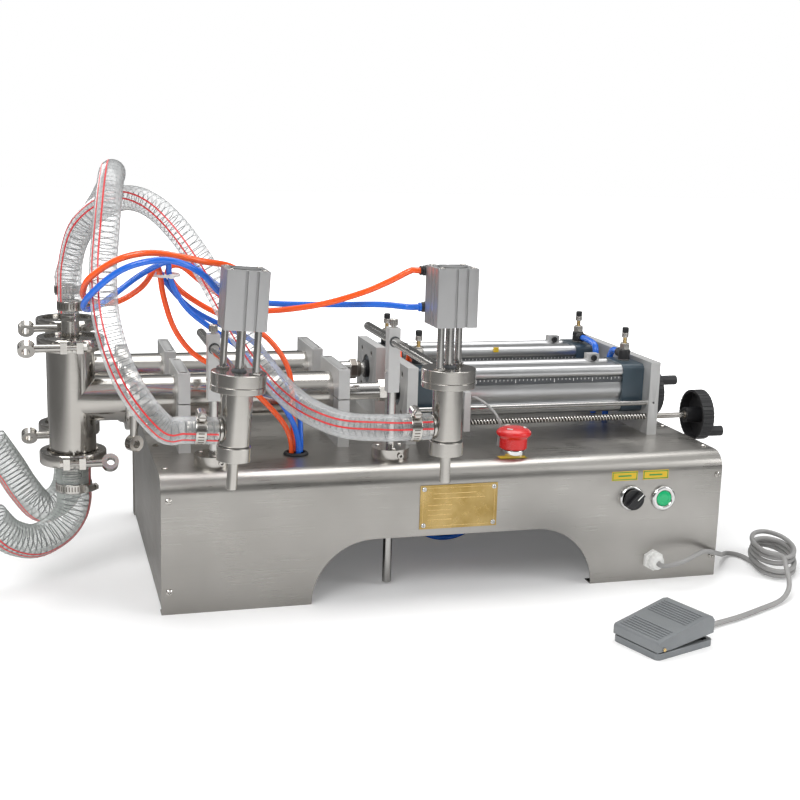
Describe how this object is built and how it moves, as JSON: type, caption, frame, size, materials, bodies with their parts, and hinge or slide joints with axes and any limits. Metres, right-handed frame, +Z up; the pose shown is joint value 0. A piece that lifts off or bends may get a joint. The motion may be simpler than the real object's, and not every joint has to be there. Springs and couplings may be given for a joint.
{
  "type": "piston liquid filler",
  "caption": "Bench-top horizontal piston liquid filler: air cylinders drive product pistons that push liquid through hoses to height-adjustable filling spouts.",
  "frame": {"origin": "under the middle of the overall box, on the floor", "axes": "+X along the cylinders towards the handwheels, +Y from the control panel to the back, +Z up"},
  "size_m": [0.9618, 0.6171, 0.4702],
  "materials": {
    "sheet_steel": "horizontally brushed sheet",
    "stainless": "polished stainless",
    "blasted_aluminium": "blasted",
    "anodised_aluminium": "anodised",
    "blue_grey_paint": "satin",
    "black_plastic": "satin black",
    "brass": "turned",
    "gold_plate": "printed plate",
    "clear_hose": "clear",
    "orange_tube": "glossy",
    "blue_tube": "glossy",
    "bright_fitting": "bright",
    "grey_cable": "soft",
    "pedal_grey": "satin grey",
    "control_plastic": "satin",
    "ball_plastic": "smooth",
    "red_plastic": "glossy red",
    "green_plastic": "glossy green"
  },
  "bodies": {
    "machine": {"housing_shell": "sheet_steel", "side_panels": "sheet_steel", "fasteners": "stainless", "nameplate_and_labels": "gold_plate", "clamp_blocks_lower": "blasted_aluminium", "clamp_blocks_upper": "blasted_aluminium", "product_tubes": "stainless", "tees": "stainless", "tri_clamps": "stainless", "hose_adapters": "stainless", "hose_clamps": "stainless", "outlet_hose_front": "clear_hose", "outlet_hose_rear": "clear_hose", "suction_hoses": "clear_hose", "drive_plates": "blasted_aluminium", "drive_end_caps": "blue_grey_paint", "drive_barrels": "anodised_aluminium", "rod_glands": "black_plastic", "sensor_clips": "blasted_aluminium", "guide_rods": "stainless", "flow_valves": "black_plastic", "orange_air_tubes": "orange_tube", "blue_air_tubes": "blue_tube", "tube_grommet": "black_plastic", "post_collars": "stainless", "panel_fittings": "bright_fitting", "pedal_cable": "grey_cable", "sensor_cables": "grey_cable", "pedal_base": "pedal_grey", "internal_controls": "control_plastic"},
    "piston_front": {"piston_front": "stainless"},
    "piston_rear": {"piston_rear": "stainless"},
    "screw_front": {"lead_screw_front": "stainless", "handwheel_front": "black_plastic"},
    "screw_rear": {"lead_screw_rear": "stainless", "handwheel_rear": "black_plastic"},
    "carriage_front": {"carriage_front": "blasted_aluminium"},
    "carriage_rear": {"carriage_rear": "blasted_aluminium"},
    "post_left": {"post_left": "stainless"},
    "post_right": {"post_right": "stainless"},
    "block_left": {"cross_block_left": "blasted_aluminium"},
    "block_right": {"cross_block_right": "blasted_aluminium"},
    "head_left": {"nozzle_left": "stainless", "nozzle_cylinder_left": "anodised_aluminium"},
    "head_right": {"nozzle_right": "stainless", "nozzle_cylinder_right": "anodised_aluminium"},
    "stem_left": {"nozzle_stem_left": "stainless"},
    "stem_right": {"nozzle_stem_right": "stainless"},
    "needle_1": {"needle_knob_1": "brass"},
    "needle_2": {"needle_knob_2": "brass"},
    "needle_3": {"needle_knob_3": "brass"},
    "needle_4": {"needle_knob_4": "brass"},
    "inlet_ball_front": {"inlet_ball_front": "ball_plastic"},
    "outlet_ball_front": {"outlet_ball_front": "ball_plastic"},
    "inlet_ball_rear": {"inlet_ball_rear": "ball_plastic"},
    "outlet_ball_rear": {"outlet_ball_rear": "ball_plastic"},
    "estop_button": {"estop_button": "red_plastic"},
    "selector_knob": {"selector_knob": "black_plastic"},
    "start_button": {"start_button": "green_plastic"},
    "pedal": {"pedal": "pedal_grey"}
  },
  "joints": [
    {"name": "piston_front_stroke", "type": "slide", "parent": "machine", "child": "piston_front", "axis": [-1, 0, 0], "range_m": [0, 0.19]},
    {"name": "piston_rear_stroke", "type": "slide", "parent": "machine", "child": "piston_rear", "axis": [-1, 0, 0], "range_m": [0, 0.19]},
    {"name": "screw_front_turn", "type": "hinge", "parent": "machine", "child": "screw_front", "pos_m": [0.2095, 0.0175, 0.172], "axis": [1, 0, 0], "range_deg": [-2250, 9900]},
    {"name": "screw_rear_turn", "type": "hinge", "parent": "machine", "child": "screw_rear", "pos_m": [0.2095, 0.1595, 0.172], "axis": [1, 0, 0], "range_deg": [-2250, 9900]},
    {"name": "carriage_front_travel", "type": "slide", "parent": "machine", "child": "carriage_front", "axis": [1, 0, 0], "range_m": [-0.05, 0.22], "deforming": ["sensor_cables"]},
    {"name": "carriage_rear_travel", "type": "slide", "parent": "machine", "child": "carriage_rear", "axis": [1, 0, 0], "range_m": [-0.05, 0.22]},
    {"name": "post_left_height", "type": "slide", "parent": "machine", "child": "post_left", "axis": [0, 0, 1], "range_m": [-0.003, 0.05], "deforming": ["orange_air_tubes"]},
    {"name": "post_right_height", "type": "slide", "parent": "machine", "child": "post_right", "axis": [0, 0, 1], "range_m": [-0.003, 0.05], "deforming": ["blue_air_tubes"]},
    {"name": "arm_left_swing", "type": "hinge", "parent": "post_left", "child": "block_left", "pos_m": [-0.2295, -0.0415, 0.24], "axis": [0, 0, 1], "range_deg": [-15, 15]},
    {"name": "arm_right_swing", "type": "hinge", "parent": "post_right", "child": "block_right", "pos_m": [-0.0325, -0.0415, 0.244], "axis": [0, 0, 1], "range_deg": [-15, 15]},
    {"name": "arm_left_reach", "type": "slide", "parent": "block_left", "child": "head_left", "axis": [0, -1, 0], "range_m": [-0.08, 0.08], "deforming": ["outlet_hose_rear"]},
    {"name": "arm_right_reach", "type": "slide", "parent": "block_right", "child": "head_right", "axis": [0, -1, 0], "range_m": [-0.08, 0.08], "deforming": ["outlet_hose_front"]},
    {"name": "stem_left_lift", "type": "slide", "parent": "head_left", "child": "stem_left", "axis": [0.061, 0, 0.9981], "range_m": [0, 0.012]},
    {"name": "stem_right_lift", "type": "slide", "parent": "head_right", "child": "stem_right", "axis": [0, 0, 1], "range_m": [0, 0.012]},
    {"name": "needle_1_turn", "type": "hinge", "parent": "machine", "child": "needle_1", "pos_m": [0.0275, 0.0585, 0.26], "axis": [0, 0, 1], "range_deg": [-1080, 1080]},
    {"name": "needle_2_turn", "type": "hinge", "parent": "machine", "child": "needle_2", "pos_m": [0.2957, 0.0585, 0.26], "axis": [0, 0, 1], "range_deg": [-1080, 1080]},
    {"name": "needle_3_turn", "type": "hinge", "parent": "machine", "child": "needle_3", "pos_m": [0.0275, 0.2005, 0.26], "axis": [0, 0, 1], "range_deg": [-1080, 1080]},
    {"name": "needle_4_turn", "type": "hinge", "parent": "machine", "child": "needle_4", "pos_m": [0.2957, 0.2005, 0.26], "axis": [0, 0, 1], "range_deg": [-1080, 1080]},
    {"name": "inlet_ball_front_lift", "type": "slide", "parent": "machine", "child": "inlet_ball_front", "axis": [0, 0, 1], "range_m": [0, 0.01]},
    {"name": "outlet_ball_front_lift", "type": "slide", "parent": "machine", "child": "outlet_ball_front", "axis": [0, 0, 1], "range_m": [0, 0.01]},
    {"name": "inlet_ball_rear_lift", "type": "slide", "parent": "machine", "child": "inlet_ball_rear", "axis": [0, 0, 1], "range_m": [0, 0.01]},
    {"name": "outlet_ball_rear_lift", "type": "slide", "parent": "machine", "child": "outlet_ball_rear", "axis": [0, 0, 1], "range_m": [0, 0.01]},
    {"name": "estop_push", "type": "slide", "parent": "machine", "child": "estop_button", "axis": [0, 0, -1], "range_m": [0, 0.005]},
    {"name": "selector_turn", "type": "hinge", "parent": "machine", "child": "selector_knob", "pos_m": [0.2445, -0.0875, 0.101], "axis": [0, 1, 0], "range_deg": [-90, 0]},
    {"name": "start_push", "type": "slide", "parent": "machine", "child": "start_button", "axis": [0, 1, 0], "range_m": [0, 0.003]},
    {"name": "pedal_press", "type": "hinge", "parent": "machine", "child": "pedal", "pos_m": [0.17046, -0.276, 0.0105], "axis": [-0.3206, 0.9472, 0], "range_deg": [0, 5]}
  ],
  "couplings": [
    {"joint": "carriage_front_travel", "follows": "screw_front_turn", "m_per_rad": 0.0012732},
    {"joint": "carriage_rear_travel", "follows": "screw_rear_turn", "m_per_rad": 0.0012732}
  ]
}
